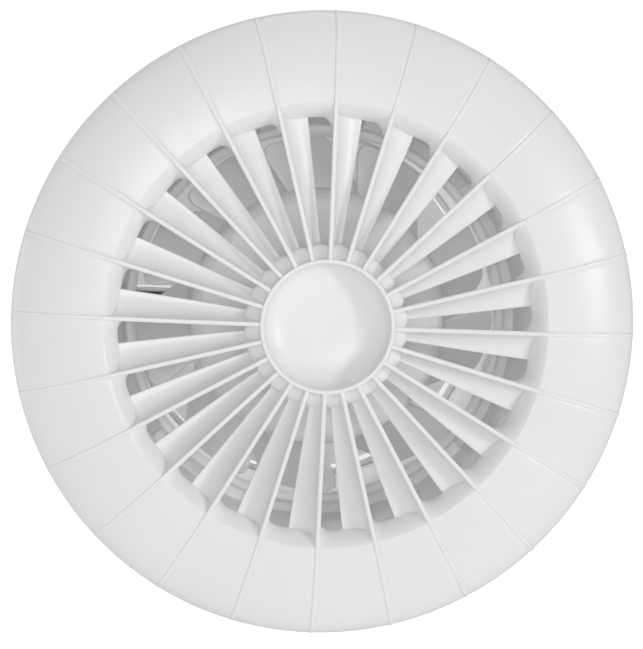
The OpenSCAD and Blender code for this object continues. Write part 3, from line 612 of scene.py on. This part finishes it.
def smooth_route(points, steps):
    """Points of a smooth curve through a route."""
    p = np.asarray(points, float)
    ends = np.vstack([2 * p[0] - p[1], p, 2 * p[-1] - p[-2]])
    out = []
    for i in range(1, len(ends) - 2):
        a, b, c, d = ends[i - 1:i + 3]
        for t in np.linspace(0, 1, steps, endpoint=False):
            out.append(0.5 * (2 * b + (c - a) * t + (2 * a - 5 * b + 4 * c - d) * t * t
                              + (3 * b - 3 * c + d - a) * t ** 3))
    return np.array(out + [p[-1]])


def tube(route, radius, sides):
    """A round tube with closed ends along a route."""
    never_along = (0, 1, 0.2)  # a direction that no part of the route takes
    along = np.gradient(route, axis=0)
    along /= np.linalg.norm(along, axis=1)[:, None]
    points = []
    for p, d in zip(route, along):
        a = np.cross(d, never_along)
        a /= np.linalg.norm(a)
        b = np.cross(d, a)
        for k in range(sides):
            t = 2 * math.pi * k / sides
            points.append(p + radius * (math.cos(t) * a + math.sin(t) * b))
    faces = grid_faces(len(route), sides, close_cols=True)
    faces += [tuple(range(sides)), tuple(range((len(route) - 1) * sides, len(route) * sides))]
    return points, faces


def lead_route(side, pole):
    """A lead's way from its terminal, at height pole, down the duct's slot and along a strut to the coil."""
    y = side * 0.9
    return [(-57.9, pole, 6.8), (-56, pole * 0.8 + y * 0.2, 6.8), (-53.6, pole * 0.3 + y * 0.7, 5.4),
            (-52.4, y, 2), (-52.4, y, -14), (-51.9, y, -17), (-50.6, y, -18.3), (-49.2, y, -18.9),
            (-48.5, y, -20), (-48.4, y, -22), (-48.4, y, -53), (-47.6, y, -55.2), (-45.6, y, -56.1),
            (-33, y, -56.1), (-28.5, y, -56), (-25 + 0.5 * y, 0.9 * y - 3, -55.2),
            (-21.5 + y, 0.8 * y - 8, -53.4), (-18 + y, 0.7 * y - 13, -51), (-14.6 + y, 0.7 * y - 17, -49),
            (-10, 2 * y - 19.4, -47.4)]


LEAD_R = 0.74
for lead, side, pole in (("lead_live", 1, 7), ("lead_neutral", -1, -1)):
    points, faces = tube(smooth_route(lead_route(side, pole), 5), LEAD_R, 16)
    piece(lead + "_wire", points, faces, "casing", [lead], slots[lead])


def build_winding():
    """The coil as turns of wire: a ribbed sleeve round the limb, each rib one turn."""
    lo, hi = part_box("coil_winding")
    half_x = (hi[0] - lo[0]) / 2 / MM
    half_y, half_z = (hi[2] - lo[2]) / 2 / MM, (hi[1] - lo[1]) / 2 / MM
    mid_y, mid_z = (hi[2] + lo[2]) / 2 / MM, -(hi[1] + lo[1]) / 2 / MM
    turns, corner = 40, 2.4
    groove = 0.12 * 0.36  # depth between two turns of 0.36 mm wire
    pitch = 2 * half_x / turns
    quarter = 6  # points on each rounded corner
    outline = []
    for qy, qz, first in ((1, 1, 0), (-1, 1, 90), (-1, -1, 180), (1, -1, 270)):
        for a in np.linspace(first, first + 90, quarter):
            a = math.radians(a)
            outline.append((qy * (half_y - corner), qz * (half_z - corner), math.cos(a), math.sin(a)))
    points = []
    stations = [(-half_x + pitch * (k + f), groove * (1 - abs(2 * f - 1)) ** 0.5)
                for k in range(turns) for f in (0.0, 0.25, 0.5, 0.75)] + [(half_x, 0.0)]
    for x, up in stations:
        for cy, cz, ny, nz in outline:
            r = corner - groove + up
            points.append((x, mid_y + cy + ny * r, mid_z + cz + nz * r))
    rows, cols = len(stations), len(outline)
    outside = grid_faces(rows, cols, close_cols=True)
    core_y, core_z = 3.67, 6.92  # half the bobbin's outside
    inner = [(x, mid_y + sy * core_y, mid_z + sz * core_z) for x in (-half_x, half_x)
             for sy, sz in ((1, 1), (-1, 1), (-1, -1), (1, -1))]
    base = len(points)
    points += inner
    for k, end in ((0, 0), (1, rows - 1)):
        ring = [end * cols + j for j in range(cols)]
        for q in range(4):
            arc = ring[q * quarter:(q + 1) * quarter]
            hub = base + 4 * k + q
            outside += [(arc[j], arc[j + 1], hub) for j in range(quarter - 1)]
            outside.append((arc[-1], ring[(q + 1) * quarter % cols], base + 4 * k + (q + 1) % 4, hub))
    outside += [(base + q, base + (q + 1) % 4, base + 4 + (q + 1) % 4, base + 4 + q) for q in range(4)]
    return piece("coil_turns", points, outside, "casing", ["coil_winding"], "winding_copper", crease=60)


build_winding()

# ---------------------------------------------------------------- studio


def plain_sheet(name, points, look):
    """A flat face of the stage, in metres of the row frame."""
    mesh = bpy.data.meshes.new(name)
    mesh.from_pydata([tuple(p) for p in points], [], [tuple(range(len(points)))])
    mesh.materials.append(look.material)
    obj = bpy.data.objects.new(name, mesh)
    bpy.context.scene.collection.objects.link(obj)


def backdrop():
    """A pale floor far below, and a grey card that closes the duct's free end. Its grey, seen through the
    duct, is painted shade for the dark inside of the duct. The card can be seen from the room side only."""
    white = (1.0, 1.0, 1.0, 1.0)
    floor = Look("pale_floor")
    tone = floor.mixed(floor.noise(3, 2), (0.93, 0.93, 0.93), (0.90, 0.90, 0.90))
    seen = floor.add("ShaderNodeLightPath").outputs[0]
    floor.set(Base_Color=tone, Roughness=0.9, Emission_Color=white, Emission_Strength=seen)
    size, low = 12.0, -0.42
    square = [(-size, -size, low), (size, -size, low), (size, size, low), (-size, size, low)]
    plain_sheet("pale_floor", square, floor)
    card = Look("duct_shade_card")
    # the card's grey is painted shade: it stands for the shaded inside of the duct beyond its end
    tone = card.mixed(card.noise(60, 3), (0.56, 0.56, 0.565), (0.52, 0.52, 0.525))
    # dark to the camera, but it gives light to everything else
    glow = card.spread(card.add("ShaderNodeLightPath").outputs[0], 0, 1, 0.9, 0.0)
    card.set(Base_Color=tone, Roughness=0.8, Emission_Color=white, Emission_Strength=glow)
    clear = card.add("ShaderNodeBsdfTransparent")
    side = card.add("ShaderNodeNewGeometry").outputs["Backfacing"]
    either = card.add("ShaderNodeMixShader")
    out = next(n for n in card.tree.nodes if n.type == "OUTPUT_MATERIAL")
    card.link(side, either.inputs[0])
    card.link(card.shader.outputs[0], either.inputs[1])
    card.link(clear.outputs[0], either.inputs[2])
    card.link(either.outputs[0], out.inputs["Surface"])
    edge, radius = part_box("housing")[1][1] + 0.0004, 0.049
    disc = [(radius * math.cos(t), edge, radius * math.sin(t))
            for t in np.linspace(0, 2 * math.pi, 64, endpoint=False)]
    plain_sheet("duct_shade_card", disc, card)


def lamp(name, spot, size, watts):
    """A square lamp aimed at the fan."""
    data = bpy.data.lights.new(name, "AREA")
    data.shape, data.size, data.size_y, data.energy = "RECTANGLE", size, size, watts
    obj = bpy.data.objects.new(name, data)
    obj.location = spot
    obj.rotation_mode = "QUATERNION"
    obj.rotation_quaternion = (-Vector(spot)).to_track_quat("-Z", "Y")
    bpy.context.scene.collection.objects.link(obj)


def studio():
    scene = bpy.context.scene
    scene.view_settings.view_transform = "Standard"
    scene.view_settings.gamma = 1.38
    world = bpy.data.worlds.new("studio")
    scene.world = world
    world.use_nodes = True
    tree = world.node_tree
    tree.nodes.clear()
    soft, seen = (tree.nodes.new("ShaderNodeBackground") for _ in range(2))
    for sky, strength in (soft, 0.18), (seen, 1.02):  # the light it gives, and what the camera sees
        sky.inputs["Color"].default_value = (1, 1, 1, 1)
        sky.inputs["Strength"].default_value = strength
    path = tree.nodes.new("ShaderNodeLightPath")
    mix = tree.nodes.new("ShaderNodeMixShader")
    out = tree.nodes.new("ShaderNodeOutputWorld")
    tree.links.new(path.outputs["Is Camera Ray"], mix.inputs[0])
    tree.links.new(soft.outputs[0], mix.inputs[1])
    tree.links.new(seen.outputs[0], mix.inputs[2])
    tree.links.new(mix.outputs[0], out.inputs["Surface"])
    lamp("front", (-0.14, -1.43, 0.15), 0.34, 6.3)
    lamp("key", (0.96, -1.06, 0.14), 0.20, 5.5)
    sides = ("right", 1, 0, 0.4), ("left", -1, 0, 3.8), ("top", 0, 1, 3.4), ("low", 0, -1, 1.1)
    for name, x, z, watts in sides:  # behind the wall plane, for the edge of the rim
        lamp("side_" + name, (1.2 * x, 0.25, 1.2 * z), 0.8, watts)


def photo_camera():
    """The photo's view. It is aimed so that the widest circle lies where it does in the photo."""
    azimuth, elevation, roll_by = math.radians(-4.75), math.radians(4.35), math.radians(2.45)
    distance, frame_mm, pixels = 1.0, 166.4, 649  # the frame's longer side, at the widest circle
    shift_right, shift_up = 2.4, 1.2  # pixels
    back = Vector((math.sin(azimuth) * math.cos(elevation), -math.cos(azimuth) * math.cos(elevation),
                   math.sin(elevation)))
    turn = (-back).to_track_quat("-Z", "Y") @ Matrix.Rotation(roll_by, 3, "Z").to_quaternion()
    right, up = turn @ Vector((1, 0, 0)), turn @ Vector((0, 1, 0))
    axis_point = Vector((0, -WIDEST_Z * MM, 0))
    per_pixel = frame_mm * MM / pixels
    aim = axis_point - right * shift_right * per_pixel - up * shift_up * per_pixel
    data = bpy.data.cameras.new("photo_camera")
    data.sensor_width = 36.0
    data.lens = 36.0 * distance / (frame_mm * MM)
    data.clip_start, data.clip_end = 0.05, 50.0
    obj = bpy.data.objects.new("photo_camera", data)
    obj.location = aim + back * distance
    obj.rotation_mode = "QUATERNION"
    obj.rotation_quaternion = turn
    bpy.context.scene.collection.objects.link(obj)
    bpy.context.scene.camera = obj


backdrop()
studio()
photo_camera()
